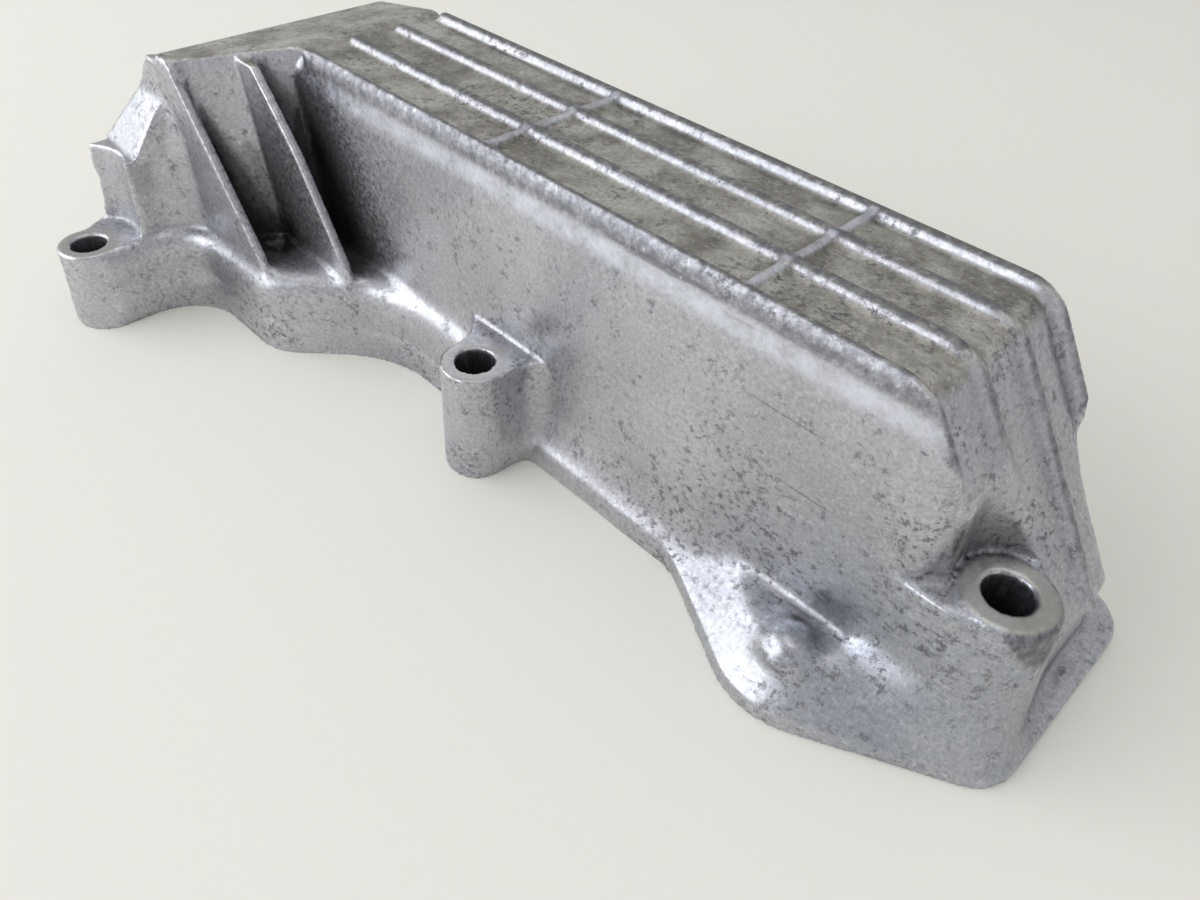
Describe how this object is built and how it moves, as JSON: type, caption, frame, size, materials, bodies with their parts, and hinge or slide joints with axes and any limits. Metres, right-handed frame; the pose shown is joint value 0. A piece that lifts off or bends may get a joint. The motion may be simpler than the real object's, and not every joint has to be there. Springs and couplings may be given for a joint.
{
  "type": "engine side cover",
  "caption": "Cast aluminium side cover with an open underside, ribbed top, gusseted end and upright bolt bosses round a flat mating flange.",
  "frame": {"origin": "axis of the middle front bolt hole on the mating face", "axes": "+X along the ribs towards the sloping end, +Y from the front bolts to the back, +Z from the mating face to the top"},
  "size_m": [0.276, 0.1207, 0.071],
  "materials": {
    "cast_metal": "as cast, worn"
  },
  "bodies": {
    "root": {"side_cover": "cast_metal"}
  },
  "joints": []
}
